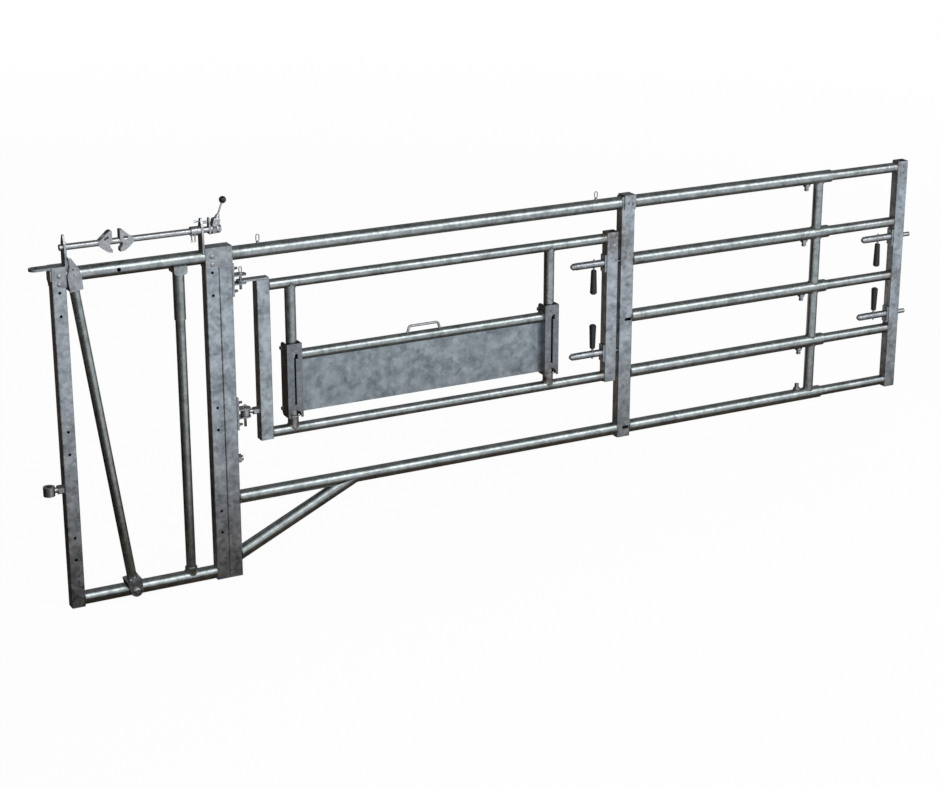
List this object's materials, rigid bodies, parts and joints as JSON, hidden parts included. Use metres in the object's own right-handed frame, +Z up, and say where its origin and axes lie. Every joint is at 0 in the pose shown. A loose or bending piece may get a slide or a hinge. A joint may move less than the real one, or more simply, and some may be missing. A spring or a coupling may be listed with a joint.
{
  "type": "calving gate",
  "caption": "Galvanised calving gate with a head yoke, an inner door with a sliding kick panel, spring bolts and a telescoping end.",
  "frame": {"origin": "on the foot of the hinge post, in the middle of its outer wall and in the gate's middle plane", "axes": "+X along the gate from its hanging side to its free end, +Y away from the viewer, +Z up"},
  "size_m": [4.496, 0.1002, 1.7126],
  "materials": {
    "galvanised_box": "hot-dip galvanised, mottled spangle",
    "galvanised_tube": "hot-dip galvanised, bright",
    "galvanised_plate": "hot-dip galvanised, matt",
    "galvanised_sheet": "hot-dip galvanised sheet",
    "zinc_hardware": "zinc plated",
    "black_plastic": "moulded, satin"
  },
  "bodies": {
    "frame": {"hinge_post": "galvanised_box", "top_hinge_bracket": "galvanised_plate", "lower_hinge_eye": "zinc_hardware", "yoke_tubes": "galvanised_tube", "fixed_bar": "galvanised_tube", "fixed_bar_sleeve": "galvanised_tube", "fixed_bar_foot": "galvanised_tube", "yoke_inner_post": "galvanised_box", "gate_hanging_post": "galvanised_box", "post_joining_bracket": "galvanised_plate", "post_joining_bolt": "zinc_hardware", "latch_arms": "galvanised_plate", "gate_rails": "galvanised_tube", "gate_brace": "galvanised_tube", "rail_ring_pins": "zinc_hardware", "middle_post": "galvanised_box", "middle_post_cap": "galvanised_plate", "panel_rails": "galvanised_tube", "panel_brace": "galvanised_tube", "rail_clamp_screws": "zinc_hardware", "door_hinge_brackets": "galvanised_plate", "door_hinge_pins": "zinc_hardware"},
    "yoke_bar": {"swing_bar": "galvanised_tube", "bar_clevis": "galvanised_plate", "catch_bracket": "galvanised_plate"},
    "latch": {"latch_rod": "zinc_hardware", "right_claw": "zinc_hardware", "latch_lever": "zinc_hardware", "lever_knob": "black_plastic"},
    "catch_claw": {"left_claw": "zinc_hardware"},
    "door": {"door_posts": "galvanised_box", "door_cross_tubes": "galvanised_tube", "door_uprights": "galvanised_tube", "door_hinge_lug": "galvanised_plate", "door_hinge_eye": "zinc_hardware", "door_bolt_housings": "galvanised_plate"},
    "kick_panel": {"kick_sheet": "galvanised_sheet", "panel_tube": "galvanised_tube", "lift_handle": "galvanised_plate", "slide_channels": "galvanised_plate"},
    "upper_door_bolt": {"door_bolt_top": "zinc_hardware", "door_grip_top": "black_plastic"},
    "lower_door_bolt": {"door_bolt_bottom": "zinc_hardware", "door_grip_bottom": "black_plastic"},
    "extension": {"end_post": "galvanised_box", "telescope_rails": "galvanised_tube", "end_bolt_housings": "galvanised_plate"},
    "upper_end_bolt": {"end_bolt_top": "zinc_hardware", "end_grip_top": "black_plastic"},
    "lower_end_bolt": {"end_bolt_bottom": "zinc_hardware", "end_grip_bottom": "black_plastic"}
  },
  "joints": [
    {"name": "yoke_bar_swing", "type": "hinge", "parent": "frame", "child": "yoke_bar", "pos_m": [0.284, 0, 0.03215], "axis": [0, 1, 0], "range_deg": [0, 7.8]},
    {"name": "latch_turn", "type": "hinge", "parent": "frame", "child": "latch", "pos_m": [0.398, 0, 1.57765], "axis": [-1, 0, 0], "range_deg": [0, 60]},
    {"name": "catch_claw_lift", "type": "hinge", "parent": "latch", "child": "catch_claw", "pos_m": [0.233, 0, 1.57765], "axis": [-1, 0, 0], "range_deg": [0, 98]},
    {"name": "door_swing", "type": "hinge", "parent": "frame", "child": "door", "pos_m": [0.825, 0, 0.93215], "axis": [0, 0, 1], "range_deg": [-95, 95]},
    {"name": "kick_panel_slide", "type": "slide", "parent": "door", "child": "kick_panel", "axis": [0, 0, 1], "range_m": [0, 0.225]},
    {"name": "upper_door_bolt_slide", "type": "slide", "parent": "door", "child": "upper_door_bolt", "axis": [-1, 0, 0], "range_m": [0, 0.076], "stiffness_N_per_m": 400, "springref_m": -0.03},
    {"name": "lower_door_bolt_slide", "type": "slide", "parent": "door", "child": "lower_door_bolt", "axis": [-1, 0, 0], "range_m": [0, 0.076], "stiffness_N_per_m": 400, "springref_m": -0.03},
    {"name": "extension_slide", "type": "slide", "parent": "frame", "child": "extension", "axis": [1, 0, 0], "range_m": [-0.25, 0.43]},
    {"name": "upper_end_bolt_slide", "type": "slide", "parent": "extension", "child": "upper_end_bolt", "axis": [-1, 0, 0], "range_m": [0, 0.058], "stiffness_N_per_m": 400, "springref_m": -0.03},
    {"name": "lower_end_bolt_slide", "type": "slide", "parent": "extension", "child": "lower_end_bolt", "axis": [-1, 0, 0], "range_m": [0, 0.058], "stiffness_N_per_m": 400, "springref_m": -0.03}
  ],
  "couplings": [
    {"joint": "catch_claw_lift", "follows": "yoke_bar_swing", "ratio": 12.3}
  ]
}
